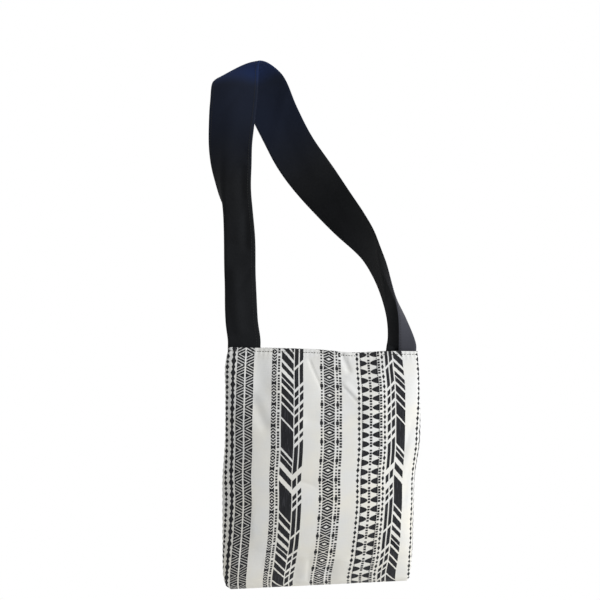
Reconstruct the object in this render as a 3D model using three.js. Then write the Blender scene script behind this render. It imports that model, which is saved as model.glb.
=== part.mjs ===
// A cotton crossbody bag in the shape it has when worn: a soft pouch of two woven panels that
// hangs before the hip from one wide strap, which crosses the body from the far shoulder.
// Millimetres, +Z up, front of the pouch towards -Y, origin under the strap on top of the shoulder.
import * as THREE from "three";

// Cloth sizes
const clothThickness = 1.3;
const hemDepth = 13;
const strapWidth = 82;
const strapThickness = 2.2;
const pieceGap = 0.3;

// Place of the mouth's middle, and the turn of the pouch about the upright
const mouthPlace = new THREE.Vector3(138.5, -125, -479);
const mouthTurn = THREE.MathUtils.degToRad(6);

// Dip of the mouth's edge between the strap ends
const mouthDip = { middle: 42, reach: 62, depth: 9, fade: 70 };

// Levels of the pouch: along is the way down the cloth, drop the depth below the mouth,
// half the half width, shift the move to the right, recess the seam's move to the back,
// front and back the fullness, square the squareness of the outline, tilt the rise of the right end.
const pouchLevels = [
  { along: 0, drop: 0, half: 158.8, shift: 0, recess: 0, front: 10.5, back: 9.5, square: 5, tilt: -3 },
  { along: 30, drop: 29, half: 159.5, shift: 0, recess: 0, front: 15, back: 12, square: 3.8, tilt: -2.5 },
  { along: 70, drop: 67, half: 160.4, shift: 0.6, recess: 0, front: 24, back: 15, square: 2.7, tilt: -2 },
  { along: 114, drop: 110, half: 161, shift: 1.2, recess: 0, front: 31.5, back: 18, square: 2.2, tilt: -1 },
  { along: 154, drop: 150, half: 161, shift: 0.6, recess: 0, front: 34.5, back: 20, square: 2.1, tilt: 0 },
  { along: 219, drop: 215, half: 158.6, shift: -6, recess: 0, front: 36, back: 23, square: 2.1, tilt: 0.5 },
  { along: 252, drop: 248, half: 158, shift: -6.6, recess: 0, front: 36, back: 24, square: 2.1, tilt: 1 },
  { along: 294, drop: 290, half: 157.4, shift: -6.7, recess: 3, front: 33, back: 24, square: 2.3, tilt: 2 },
  { along: 326, drop: 320, half: 157, shift: -6.5, recess: 7, front: 27.6, back: 22, square: 2.6, tilt: 3 },
  { along: 357, drop: 349, half: 156.4, shift: -6.5, recess: 12, front: 21, back: 19, square: 3, tilt: 3.5 },
  { along: 386, drop: 374, half: 155, shift: -6, recess: 18, front: 12, back: 12.5, square: 3, tilt: 4 },
  { along: 402, drop: 387, half: 151.5, shift: -4.4, recess: 21, front: 6, back: 6.5, square: 3, tilt: 4.2 },
  { along: 410, drop: 391.5, half: 146, shift: -2.5, recess: 22, front: 0, back: 0, square: 3, tilt: 4.2 },
];

// Soft folds of each panel, as lines on it in mm: a positive push dents it, a negative one lifts it
const frontFolds = [
  { x: -106, drop: 40, toX: -86, toDrop: 130, push: 4, reach: 13 },
  { x: -74, drop: 46, toX: -62, toDrop: 150, push: -2.5, reach: 15 },
  { x: -26, drop: 8, toX: 8, toDrop: 76, push: 3.5, reach: 12 },
  { x: 30, drop: 10, toX: 58, toDrop: 96, push: 4, reach: 13 },
  { x: 96, drop: 20, toX: 78, toDrop: 110, push: -2.5, reach: 16 },
  { x: 152, drop: 128, toX: 112, toDrop: 206, push: 4, reach: 14 },
  { x: -60, drop: 214, toX: 6, toDrop: 222, push: 1.8, reach: 13 },
  { x: -120, drop: 326, toX: -20, toDrop: 338, push: 2.4, reach: 12 },
  { x: 20, drop: 330, toX: 118, toDrop: 318, push: 2.4, reach: 12 },
];
const backFolds = [
  { x: -110, drop: 20, toX: -60, toDrop: 150, push: 4, reach: 16 },
  { x: 104, drop: 24, toX: 58, toDrop: 160, push: 4, reach: 16 },
  { x: -20, drop: 14, toX: -8, toDrop: 100, push: 3, reach: 15 },
  { x: -90, drop: 318, toX: 70, toDrop: 326, push: 2.4, reach: 14 },
];

// Ends of the strap: tuck is how deep they go into the mouth, inset how far in from the side seam
// the fold stands, arm the width of the strap before the seam, bend the radius of the fold
const strapTuck = 28;
const strapInset = 4.6;
const leftArm = 54;
const rightArm = 31;
const endBend = 3.3;

// Stations of the strap between its two ends: place of its fold line, facing as the turn of the
// outer face from the front to the right, lift as its turn upwards, fold in all, bend and arm.
const strapStations = [
  { x: -18.4, y: -139, z: -437, facing: -78, lift: 0, fold: 156, bend: 3.5, arm: 53 },
  { x: -20.2, y: -135, z: -367, facing: -66, lift: 0, fold: 132, bend: 4, arm: 51 },
  { x: -21, y: -131, z: -302, facing: -56, lift: 0, fold: 112, bend: 5, arm: 50 },
  { x: -22.2, y: -128, z: -256, facing: -50, lift: 0, fold: 98, bend: 7, arm: 48 },
  { x: -24, y: -124, z: -217, facing: -39, lift: 0, fold: 76, bend: 12, arm: 47 },
  { x: -23, y: -117, z: -179, facing: -30, lift: 3, fold: 52, bend: 22, arm: 46 },
  { x: -20, y: -108, z: -147, facing: -25, lift: 9, fold: 32, bend: 40, arm: 44 },
  { x: -15.5, y: -95, z: -116, facing: -18, lift: 20, fold: 20, bend: 60, arm: 42 },
  { x: -11, y: -64, z: -64, facing: -8, lift: 38, fold: 22, bend: 80, arm: 41 },
  { x: -9, y: -32, z: -22, facing: -12, lift: 58, fold: 32, bend: 100, arm: 41 },
  { x: 0, y: 0, z: 1, facing: -88, lift: 66, fold: 42, bend: 100, arm: 41 },
  { x: 33, y: 34, z: -20, facing: -158, lift: 52, fold: 34, bend: 100, arm: 41 },
  { x: 59, y: 70, z: -73, facing: -178, lift: 24, fold: 20, bend: 80, arm: 41 },
  { x: 93, y: 93, z: -137, facing: -188, lift: 8, fold: 8, bend: 60, arm: 41 },
  { x: 138, y: 93, z: -198, facing: -204, lift: 2, fold: 0, bend: 40, arm: 40 },
  { x: 182, y: 70, z: -252, facing: -231, lift: 0, fold: 0, bend: 20, arm: 39 },
  { x: 219, y: 26, z: -298, facing: -258, lift: 0, fold: 0, bend: 12, arm: 37 },
  { x: 243, y: -22, z: -353, facing: -265, lift: 0, fold: 4, bend: 8, arm: 35 },
  { x: 261, y: -58, z: -397, facing: -268, lift: 0, fold: 26, bend: 5, arm: 33 },
  { x: 278, y: -86, z: -433, facing: -265, lift: 0, fold: 70, bend: 4, arm: 32 },
];

// Fineness of the meshes
const panelColumns = 28;
const panelRows = 28;
const armColumns = 4;
const bendColumns = 5;
const spanSteps = 3;

// Colours of the cloth
const patternCloth = new THREE.MeshStandardMaterial({ color: 0xb4b1aa, roughness: 0.9, metalness: 0 });
const blackCloth = new THREE.MeshStandardMaterial({ color: 0x17181d, roughness: 0.85, metalness: 0 });
patternCloth.name = "patterned_cotton";
blackCloth.name = "black_cotton";

// Reads every column of a table at any place along one of them, smoothly between the rows.
function tableReader(rows, along) {
  const names = Object.keys(rows[0]);
  const places = rows.map((row) => row[along]);
  const values = rows.flatMap((row) => names.map((name) => row[name]));
  const curve = new THREE.CubicInterpolant(places, values, names.length);
  return (place) => {
    const read = curve.evaluate(place);
    return Object.fromEntries(names.map((name, column) => [name, read[column]]));
  };
}

// A closed wall between two grids of points, both [row][column], that joins their edges.
function wallGeometry(outer, inner) {
  const rows = outer.length;
  const columns = outer[0].length;
  const out = (row, column) => row * columns + column;
  const into = (row, column) => (rows + row) * columns + column;
  const index = [];
  const quad = (a, b, c, d) => index.push(a, b, c, a, c, d);
  for (let row = 0; row < rows - 1; row++) {
    for (let column = 0; column < columns - 1; column++) {
      quad(out(row, column), out(row + 1, column), out(row + 1, column + 1), out(row, column + 1));
      quad(into(row, column), into(row, column + 1), into(row + 1, column + 1), into(row + 1, column));
    }
    quad(out(row, 0), into(row, 0), into(row + 1, 0), out(row + 1, 0));
    const last = columns - 1;
    quad(out(row, last), out(row + 1, last), into(row + 1, last), into(row, last));
  }
  for (let column = 0; column < columns - 1; column++) {
    quad(out(0, column), out(0, column + 1), into(0, column + 1), into(0, column));
    const last = rows - 1;
    quad(out(last, column), into(last, column), into(last, column + 1), out(last, column + 1));
  }
  const geometry = new THREE.BufferGeometry().setFromPoints([...outer.flat(), ...inner.flat()]);
  geometry.setIndex(index);
  geometry.computeVertexNormals();
  return geometry;
}

// The outline of the pouch at one level, from the left seam to the right one over one panel.
class PanelOutline extends THREE.Curve {
  constructor(level, depth) {
    super();
    this.level = level;
    this.depth = depth;
    this.arcLengthDivisions = 400;
  }

  getPoint(share, target = new THREE.Vector3()) {
    const angle = Math.PI * share;
    const power = 2 / this.level.square;
    const across = -Math.sign(Math.cos(angle)) * Math.abs(Math.cos(angle)) ** power;
    const outward = Math.abs(Math.sin(angle)) ** power;
    return target.set(across * this.level.half, outward * this.depth, 0);
  }
}

// How far the folds push a panel in at one place on it.
function foldPush(folds, x, drop) {
  let push = 0;
  for (const fold of folds) {
    const line = new THREE.Line3(
      new THREE.Vector3(fold.x, fold.drop, 0),
      new THREE.Vector3(fold.toX, fold.toDrop, 0),
    );
    const here = new THREE.Vector3(x, drop, 0);
    const away = line.closestPointToPoint(here, true, new THREE.Vector3()).distanceTo(here);
    push += fold.push * Math.exp(-((away / fold.reach) ** 2));
  }
  return push;
}

// How much the mouth's edge hangs down at one place across it.
function dipAt(x, along) {
  const across = (x - mouthDip.middle) / mouthDip.reach;
  return mouthDip.depth * Math.exp(-across * across) * Math.exp(-along / mouthDip.fade);
}

// One row of points over a panel, left to right; side is -1 on the front and 1 on the back.
function panelRow(level, side) {
  const outline = new PanelOutline(level, side < 0 ? level.front : level.back);
  const folds = side < 0 ? frontFolds : backFolds;
  const row = [];
  for (let column = 0; column <= panelColumns; column++) {
    const even = column / panelColumns;
    const share = THREE.MathUtils.lerp(even, 0.5 - 0.5 * Math.cos(Math.PI * even), 0.6);
    const point = outline.getPointAt(share);
    const seamFade = THREE.MathUtils.smoothstep(Math.min(share, 1 - share), 0, 0.12);
    const edgeFade = Math.min(1, point.y / 8);
    const push = foldPush(folds, point.x, level.drop) * seamFade * edgeFade;
    const rise = level.tilt * (point.x / level.half) - dipAt(point.x, level.along);
    const y = side * (point.y - push) + level.recess;
    row.push(new THREE.Vector3(point.x + level.shift, y, rise - level.drop));
  }
  return row;
}

// Outward directions of a closed ring of points at each row, with the lowest row facing down.
function ringNormals(ring) {
  const columns = ring[0].length;
  return ring.map((points, row) => points.map((point, column) => {
    if (row === ring.length - 1) return new THREE.Vector3(0, 0, -1);
    const above = ring[Math.max(row - 1, 0)][column];
    const down = new THREE.Vector3().subVectors(ring[row + 1][column], above);
    const next = points[(column + 1) % columns];
    const before = points[(column + columns - 1) % columns];
    const across = new THREE.Vector3().subVectors(next, before);
    return down.cross(across).normalize();
  }));
}

// Ways down the cloth at which rows of points lie, with the hem's edge among them.
function rowPlaces() {
  const length = pouchLevels.at(-1).along;
  const places = [0, hemDepth / 2, hemDepth, hemDepth + 0.5];
  for (let row = 1; row <= panelRows; row++) {
    const even = row / panelRows;
    const share = THREE.MathUtils.lerp(even, Math.sin(even * Math.PI / 2), 0.45);
    const place = length * share;
    if (place > hemDepth + 4) places.push(place);
  }
  return places;
}

// The two panels of the pouch, each a wall of one cloth with a doubled hem along the mouth.
function pouchPanels() {
  const readLevel = tableReader(pouchLevels, "along");
  const places = rowPlaces();
  const ring = places.map((place) => {
    const level = readLevel(place);
    const front = panelRow(level, -1);
    const back = panelRow(level, 1).reverse();
    return [...front.slice(0, -1), ...back.slice(0, -1)];
  });
  const normals = ringNormals(ring);
  const panel = (from, side) => {
    const pick = (row, column) => (from + column) % row.length;
    const columns = Array.from({ length: panelColumns + 1 }, (_, column) => column);
    const seamMove = new THREE.Vector3(0, side * pieceGap / 2, 0);
    const outer = ring.map((row) => columns.map((column) => row[pick(row, column)].clone().add(seamMove)));
    const inner = outer.map((row, r) => row.map((point, column) => {
      const layers = places[r] <= hemDepth ? 2 : 1;
      const inward = normals[r][pick(normals[r], column)];
      return point.clone().addScaledVector(inward, -layers * clothThickness);
    }));
    return wallGeometry(outer, inner);
  };
  return { front: panel(0, -1), back: panel(panelColumns, 1) };
}

// A direction from its turn to the right of the front and its lift, both in degrees.
function facingDirection(facing, lift) {
  const turn = THREE.MathUtils.degToRad(facing);
  const rise = THREE.MathUtils.degToRad(lift);
  return new THREE.Vector3(
    Math.sin(turn) * Math.cos(rise),
    -Math.cos(turn) * Math.cos(rise),
    Math.sin(rise),
  );
}

// A station of the strap at a side seam, at a height above the mouth; side is -1 left and 1 right.
function mouthStation(side, height) {
  const place = new THREE.Vector3(side * (pouchLevels[0].half - strapInset), -0.4, height);
  place.applyAxisAngle(new THREE.Vector3(0, 0, 1), mouthTurn).add(mouthPlace);
  const facing = (side < 0 ? -90 : -270) + THREE.MathUtils.radToDeg(mouthTurn);
  const arm = side < 0 ? leftArm : rightArm;
  return { x: place.x, y: place.y, z: place.z, facing, lift: 0, fold: 180, bend: endBend, arm };
}

// All stations of the strap, from its left end in the mouth over the shoulder to its right end.
function allStations() {
  const ends = (side) => {
    const rise = side * pouchLevels[0].tilt;
    return [-strapTuck, -4, 9].map((height) => mouthStation(side, height + rise));
  };
  return [...ends(-1), ...strapStations, ...ends(1).reverse()];
}

// Distances across the strap from its inner edge, closer together where it folds.
function acrossPlaces(arm) {
  const bend = endBend * Math.PI / 2;
  const spread = (from, to, steps) => Array.from({ length: steps }, (_, step) => from + (to - from) * step / steps);
  return [
    ...spread(0, arm - bend, armColumns),
    ...spread(arm - bend, arm + bend, bendColumns),
    ...spread(arm + bend, strapWidth, armColumns),
    strapWidth,
  ];
}

// Points across the middle of the strap at one station, folded evenly to both sides of its arm.
function strapSection(station, travel) {
  const facing = facingDirection(station.facing, station.lift);
  const across = new THREE.Vector3().crossVectors(travel, facing).normalize();
  const outward = new THREE.Vector3().crossVectors(across, travel).normalize();
  const half = THREE.MathUtils.degToRad(station.fold) / 2;
  const bend = station.bend * half;
  return acrossPlaces(station.arm).map((place) => {
    const away = Math.abs(station.arm - place);
    const turn = Math.min(away, bend) / station.bend;
    const straight = Math.max(away - bend, 0);
    const sideways = station.bend * Math.sin(turn) + straight * Math.cos(half);
    const inward = station.bend * (1 - Math.cos(turn)) + straight * Math.sin(half);
    return new THREE.Vector3(station.x, station.y, station.z)
      .addScaledVector(across, Math.sign(station.arm - place) * sideways)
      .addScaledVector(outward, -inward);
  });
}

// Outward directions over an open grid of points.
function gridNormals(grid) {
  const lastRow = grid.length - 1;
  const lastColumn = grid[0].length - 1;
  return grid.map((points, row) => points.map((point, column) => {
    const ahead = grid[Math.min(row + 1, lastRow)][column];
    const behind = grid[Math.max(row - 1, 0)][column];
    const along = new THREE.Vector3().subVectors(ahead, behind);
    const outer = points[Math.min(column + 1, lastColumn)];
    const inner = points[Math.max(column - 1, 0)];
    const across = new THREE.Vector3().subVectors(outer, inner);
    return along.cross(across).normalize();
  }));
}

// The strap: one doubled band from inside the left end of the mouth to inside the right end.
function strapGeometry() {
  const stations = allStations();
  const path = new THREE.CatmullRomCurve3(stations.map(({ x, y, z }) => new THREE.Vector3(x, y, z)));
  const spans = stations.length - 1;
  const sections = stations.map((station, i) => strapSection(station, path.getTangent(i / spans)));
  const lines = sections[0].map((_, column) => (
    new THREE.CatmullRomCurve3(sections.map((section) => section[column]))
  ));
  const middle = [];
  for (let step = 0; step <= spans * spanSteps; step++) {
    middle.push(lines.map((line) => line.getPoint(step / (spans * spanSteps))));
  }
  const normals = gridNormals(middle);
  const face = (move) => middle.map((row, r) => row.map((point, column) => (
    point.clone().addScaledVector(normals[r][column], move)
  )));
  return wallGeometry(face(strapThickness / 2), face(-strapThickness / 2));
}

// One named piece.
function piece(name, geometry, material) {
  const mesh = new THREE.Mesh(geometry, material);
  mesh.name = name;
  return mesh;
}

const panels = pouchPanels();
const pouch = new THREE.Group();
pouch.name = "pouch";
pouch.position.copy(mouthPlace);
pouch.rotation.z = mouthTurn;
pouch.add(piece("front_panel", panels.front, patternCloth));
pouch.add(piece("back_panel", panels.back, patternCloth));

const bag = new THREE.Group();
bag.name = "crossbody_bag";
bag.add(pouch);
bag.add(piece("strap", strapGeometry(), blackCloth));

export default bag;
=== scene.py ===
# Cotton crossbody bag: a woven pouch on one wide black strap, in the shape it has when worn.
# Sizes are in millimetres in the dictionaries and turned to metres where a mesh is made.
import math
from functools import partial, reduce

import bpy
import numpy as np
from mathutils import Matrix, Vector


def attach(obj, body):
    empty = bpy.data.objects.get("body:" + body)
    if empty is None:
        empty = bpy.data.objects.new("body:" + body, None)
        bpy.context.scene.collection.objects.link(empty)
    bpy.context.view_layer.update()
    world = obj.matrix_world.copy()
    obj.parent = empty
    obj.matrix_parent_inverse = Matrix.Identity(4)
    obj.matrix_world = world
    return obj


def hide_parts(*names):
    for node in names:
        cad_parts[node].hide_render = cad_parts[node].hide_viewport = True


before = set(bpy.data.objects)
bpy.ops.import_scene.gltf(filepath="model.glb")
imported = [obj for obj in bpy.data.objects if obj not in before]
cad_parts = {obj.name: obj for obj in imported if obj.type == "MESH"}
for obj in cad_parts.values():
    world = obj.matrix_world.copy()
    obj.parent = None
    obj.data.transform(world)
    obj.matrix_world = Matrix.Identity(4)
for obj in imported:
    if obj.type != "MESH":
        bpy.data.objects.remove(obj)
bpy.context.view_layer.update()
mm = 0.001


def linear(hexColour):
    channels = [int(hexColour[i:i + 2], 16) / 255 for i in (1, 3, 5)]
    return [c / 12.92 if c < 0.04045 else ((c + 0.055) / 1.055) ** 2.4 for c in channels] + [1]


# Adds a node, sets it and links it. A kind in capitals is an operation of the Math node.
def addNode(tree, kind, *plugs, named=None, **settings):
    node = tree.nodes.new("ShaderNodeMath" if kind.isupper() else kind)
    if kind.isupper():
        node.operation = kind
    for name, value in settings.items():
        setattr(node, name, value)
    sockets = [socket for socket in node.inputs if socket.enabled]
    pairs = list(zip(sockets, plugs))
    pairs += [(node.inputs[name], value) for name, value in (named or {}).items()]
    for socket, value in pairs:
        if isinstance(value, bpy.types.NodeSocket):
            tree.links.new(value, socket)
        else:
            socket.default_value = value
    outputs = [socket for socket in node.outputs if socket.enabled]
    return outputs[0] if len(outputs) == 1 else outputs


# Reads the columns of a table at places along its first one, smoothly between the rows.
def readTable(rows, at):
    table = np.array(rows, float)
    x, y = table[:, 0], table[:, 1:]
    slope = np.gradient(y, x, axis=0)
    i = np.clip(np.searchsorted(x, at, side="right") - 1, 0, len(x) - 2)
    step = (x[i + 1] - x[i])[:, None]
    t = (np.asarray(at) - x[i])[:, None] / step
    start = (2 * t**3 - 3 * t**2 + 1) * y[i] + (t**3 - 2 * t**2 + t) * step * slope[i]
    end = (3 * t**2 - 2 * t**3) * y[i + 1] + (t**3 - t**2) * step * slope[i + 1]
    return start + end


def smoothStep(x, low, high):
    t = np.clip((x - low) / (high - low), 0, 1)
    return t * t * (3 - 2 * t)


def unit(vectors):
    return vectors / np.maximum(np.linalg.norm(vectors, axis=-1, keepdims=True), 1e-9)


# Directions that stand off a grid of points, on the side from which it runs down, then across.
def gridNormals(grid):
    return unit(np.cross(np.gradient(grid, axis=0), np.gradient(grid, axis=1)))


# Small uneven waves over flat cloth, from a few dozen sine waves with fixed seeds.
def ripples(flat, seed, shortest, longest, count=36):
    random = np.random.default_rng(seed)
    total = np.zeros(flat.shape[:-1])
    for _ in range(count):
        turn = random.uniform(0, math.pi)
        length = random.uniform(shortest, longest)
        phase = random.uniform(0, 2 * math.pi)
        way = flat[..., 0] * math.cos(turn) + flat[..., 1] * math.sin(turn)
        total += np.sin(2 * math.pi * way / length + phase) * length / longest
    return total / math.sqrt(count)


# A closed wall between an outer and an inner grid, with the flat cloth's millimetres as its UV map.
def wallPiece(name, outer, inner, flat, material):
    rows, columns = outer.shape[:2]
    count = rows * columns
    index = np.arange(count).reshape(rows, columns)
    outside = np.stack([index[:-1, :-1], index[1:, :-1], index[1:, 1:], index[:-1, 1:]], -1).reshape(-1, 4)
    rim = np.concatenate([index[:-1, 0], index[-1, :-1], index[:0:-1, -1], index[0, :0:-1]])
    after = np.roll(rim, -1)
    edge = np.stack([rim, rim + count, after + count, after], -1)
    faces = np.concatenate([outside, outside[:, ::-1] + count, edge])
    points = np.concatenate([outer.reshape(-1, 3), inner.reshape(-1, 3)]) * mm
    mesh = bpy.data.meshes.new(name)
    mesh.from_pydata(points.tolist(), [], faces.tolist())
    corners = np.empty(len(mesh.loops), int)
    mesh.loops.foreach_get("vertex_index", corners)
    layer = mesh.uv_layers.new(name="clothMm")
    layer.uv.foreach_set("vector", np.tile(flat.reshape(-1, 2), (2, 1))[corners].ravel())
    mesh.shade_smooth()
    mesh.materials.append(material)
    piece = bpy.data.objects.new(name, mesh)
    bpy.context.scene.collection.objects.link(piece)
    return piece


# Patterned cotton: matte hand-loomed cloth, off-white with charcoal pattern yarn in four bands.
# The eye sees soft off-white, a little warmer in patches, crisp stepped motifs and a faint rib, with
# hardly any shine.
weave = {
    "thread": 0.5,  # step of the motifs' edges, mm
    "rib": 1.6,  # mm, twice the real thread spacing so that it shows
    "across": 320.0,  # repeat of the four bands, mm
    "down": 277.0,  # repeat of the feather and brick bars, mm
    "fourthBand": 200.0,  # the fourth band lies past this place across, mm
    "cream": "#eaebea",
    "creamShade": "#e0e1e0",
    "warmCream": "#edeadf",
    "warmPatch": 45.0,  # size of uneven warm patches in the undyed cotton, mm
    "warmth": (1.8, -0.85),  # contrast of the patches, and how far they are held back
    "warmer": 0.0013,  # more of them per mm towards the bottom
    "yarn": "#1f2024",
    "yarnFleck": "#3b3c41",
    "slub": (20.0, 1.111),  # length and width of slubs, the uneven stretches of a yarn, mm
    "slubShade": (0.9, -0.5),  # contrast of the slubs, and how far they are held back
    "fleck": (0.58, 0.7),  # slubs past the first value are flecks in the pattern yarn, this strong
    "relief": (0.03, 0.04, 0.12),  # bump of the rib, the slubs and the pattern yarn
    # dots are drawn six to a group where the cloth has seven, so that they show from a distance
    "dotPitch": 4.6,
    "dotGroup": (30.8, 6),  # repeat, dots in it
    "dotHalf": (1.9, 1.65),  # across, down
}


# A line of square dots in groups; first is where a group starts down the cloth.
def dotLine(n, u, v, centre, first):
    repeat, count = weave["dotGroup"]
    pitch = weave["dotPitch"]
    across, down = weave["dotHalf"]
    cell = n("WRAP", n("SUBTRACT", v, first), repeat, 0.0)
    dots = n("COMPARE", n("WRAP", cell, pitch, 0.0), pitch / 2, down)
    dots = n("MULTIPLY", dots, n("LESS_THAN", cell, pitch * count))
    return n("MULTIPLY", dots, n("COMPARE", u, centre, across))


# A line of pointed beads, large and small in turn; each is (half length, half width), and pair is the
# way from one large bead to the next.
def beadLine(n, u, v, centre, first, large, small, pair):
    away = n("PINGPONG", n("SUBTRACT", v, first), pair / 2)
    aside = n("ABSOLUTE", n("SUBTRACT", u, centre))
    big = n("LESS_THAN", n("MULTIPLY_ADD", aside, large[0] / large[1], away), large[0])
    little = n("GREATER_THAN", n("MULTIPLY_ADD", aside, -small[0] / small[1], away), pair / 2 - small[0])
    return n("MAXIMUM", big, little)


# Bars from a chart, 1 on a bar; way is the place along the chart, which repeats.
def chartBars(n, way, bars, spread):
    ramp = n("ShaderNodeValToRGB", n("DIVIDE", n("WRAP", way, weave["down"], 0.0), weave["down"]))
    scale = ramp[0].node.color_ramp
    scale.interpolation = "CONSTANT"
    scale.elements[0].color = (0, 0, 0, 1)
    scale.elements.remove(scale.elements[1])
    for start, end in bars:
        scale.elements.new((start - spread) / weave["down"]).color = (1, 1, 1, 1)
        scale.elements.new((end + spread) / weave["down"]).color = (0, 0, 0, 1)
    return ramp[0]


# First band: a beaded line, a chain, and two hatched columns with triangles on both sides of a line
hatch = {
    # place across, first large bead, half length and width of large and of small ones, repeat
    "beads": (8.6, 15.6, (5.2, 3.9), (3.4, 3.3), 17.1),
    "chain": (19.0, 2.8, 19.7),  # place across, first large link, repeat
    "links": (4.4, 3.3, 1.7),  # half widths of large and small links and of the necks
    "linkSlope": 0.5,
    "centre": 38.5,
    "column": (1.5, 13.8),  # inner and outer edge of a column from the centre
    "start": 12.0,
    "repeat": 34.45,
    "slope": 0.5,
    "line": 4.64,  # three lines where the cloth has four, so that the hatching shows
    "lineStart": 0.88,
    # yarn to each side of a line's middle, as a share of the lines' pitch, and how much more per mm down
    "yarn": (0.358, 0.0001),
    "solid": (-2.6, 13.65),  # below the first and above the second step the triangles are filled
}


def hatchBand(n, u, v):
    beads = beadLine(n, u, v, *hatch["beads"])
    place, first, repeat = hatch["chain"]
    large, small, neck = hatch["links"]
    slope = hatch["linkSlope"]
    away = n("PINGPONG", n("SUBTRACT", v, first), repeat / 2)
    wide = n("MULTIPLY_ADD", away, -slope, large)
    slim = n("MULTIPLY_ADD", away, slope, small - slope * repeat / 2)
    half = n("MAXIMUM", n("MAXIMUM", wide, slim), neck)
    chain = n("LESS_THAN", n("ABSOLUTE", n("SUBTRACT", u, place)), half)
    inner, outer = hatch["column"]
    aside = n("ABSOLUTE", n("SUBTRACT", u, hatch["centre"]))
    down = n("PINGPONG", n("SUBTRACT", v, hatch["start"]), hatch["repeat"] / 2)
    step = n("MULTIPLY_ADD", n("SUBTRACT", aside, outer), hatch["slope"], down)
    share, more = hatch["yarn"]
    yarn = n("MULTIPLY_ADD", v, hatch["line"] * more, hatch["line"] * share)
    line = n("PINGPONG", n("SUBTRACT", step, hatch["lineStart"]), hatch["line"] / 2)
    lines = n("LESS_THAN", line, yarn)
    low, high = hatch["solid"]
    solid = n("MAXIMUM", n("LESS_THAN", step, low), n("GREATER_THAN", step, high))
    window = n("COMPARE", aside, (inner + outer) / 2, (outer - inner) / 2)
    return [beads, chain, n("MULTIPLY", n("MAXIMUM", lines, solid), window)]


# Second band: a narrow column of nested lozenges and a dotted line, before the feather and bricks
lozenge = {
    "centre": 84.8,
    "half": 3.8,
    "start": 75.75,  # a small open diamond
    "repeat": 34.5,
    "line": 4.7,  # coarser than the cloth's 4, so that the lines show
    "yarn": 0.325,  # to each side of a line's middle, as a share of the lines' pitch
    "slope": 0.8,
    "outline": 3.2,  # step of the line round the open diamond
    "knot": 2.4,  # half length of the filled knots between the lozenges
    "dots": (92.5, 13.0),  # place across, first group
}


def lozengeBand(n, u, v):
    aside = n("ABSOLUTE", n("SUBTRACT", u, lozenge["centre"]))
    away = n("PINGPONG", n("SUBTRACT", v, lozenge["start"]), lozenge["repeat"] / 2)
    nested = n("MULTIPLY_ADD", aside, lozenge["slope"], n("SUBTRACT", away, lozenge["outline"]))
    lines = n("LESS_THAN", n("PINGPONG", nested, lozenge["line"] / 2), lozenge["line"] * lozenge["yarn"])
    knots = n("GREATER_THAN", away, lozenge["repeat"] / 2 - lozenge["knot"])
    column = n("MULTIPLY", n("MAXIMUM", lines, knots), n("LESS_THAN", aside, lozenge["half"]))
    return [column, dotLine(n, u, v, *lozenge["dots"])]


# Feather and brick columns of the second and fourth band; bars as (start, end) down one repeat, mm
feather = {
    "start": 20.0,
    "slope": 1.07,  # bars fall to the right
    "columns": ((96.85, 116.65), (285.65, 301.75)),  # edges in the second and fourth band
    "readAt": (97.0, 285.8),  # places across in the two bands where the bars are as charted
    "spread": 0.3,  # bars swell a little past their chart, as thick yarn does
    "lower": -4.5,  # of the fourth band against the second
    "bars": [
        (3.2, 11), (19.2, 26.4), (28.9, 37.2), (41.6, 54), (58, 67.3), (71, 92.5), (96, 140.5),
        (145.5, 152), (155, 163.5), (173.5, 185.5), (196, 243), (247, 255.5), (262, 274.5),
    ],
}
brick = {
    "start": 25.0,
    "slope": -1.0,  # bars rise to the right
    "columns": ((118.3, 124.9), (126.7, 132.6), (271.1, 276.4), (278.3, 283.6)),
    "readAt": (127.0, 271.7),
    "spread": 0.85,
    "lower": 3.8,
    "bars": [
        (3.7, 34.7), (41, 48.2), (53.5, 63.9), (70.5, 76.2), (81.5, 92), (98.7, 109.8), (116.7, 122.4),
        (130.5, 171.2), (184.5, 195.2), (208.4, 214.2), (218.9, 224.5), (231.9, 274.5),
    ],
}


# Slanted bars in the columns of a chart.
def slantedBars(n, u, v, chart):
    slope = chart["slope"]
    left, right = chart["readAt"]
    way = n("MULTIPLY_ADD", u, -slope, n("ADD", v, slope * left - chart["start"]))
    fourth = n("GREATER_THAN", u, weave["fourthBand"])
    way = n("MULTIPLY_ADD", fourth, slope * (right - left) - chart["lower"], way)
    windows = [n("COMPARE", u, (a + b) / 2, (b - a) / 2) for a, b in chart["columns"]]
    bars = chartBars(n, way, chart["bars"], chart["spread"])
    return n("MULTIPLY", bars, reduce(partial(n, "MAXIMUM"), windows))


# Third band: nested diamonds between two beaded lines, and a dotted line
diamond = {
    "centre": 176.2,
    "half": 8.8,
    "start": 14.4,
    "repeat": 30.85,
    "line": 4.6,
    "yarn": 0.35,  # to each side of a line's middle, as a share of the lines' pitch
    "slope": 0.48,
    "outline": 3.8,  # step of the line round the open diamond
    "open": -1.6,  # step from the outline inside which the diamond is open
    "beads": (13.05, 6),  # place from the centre, beads in a repeat
    "smallBead": (1.45, 1.5),  # half length, half width
    "largeBead": (3.7, 2.6, 0.45),  # half length, half width, taper
    "dots": (194.2, 13.0),
}


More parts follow.
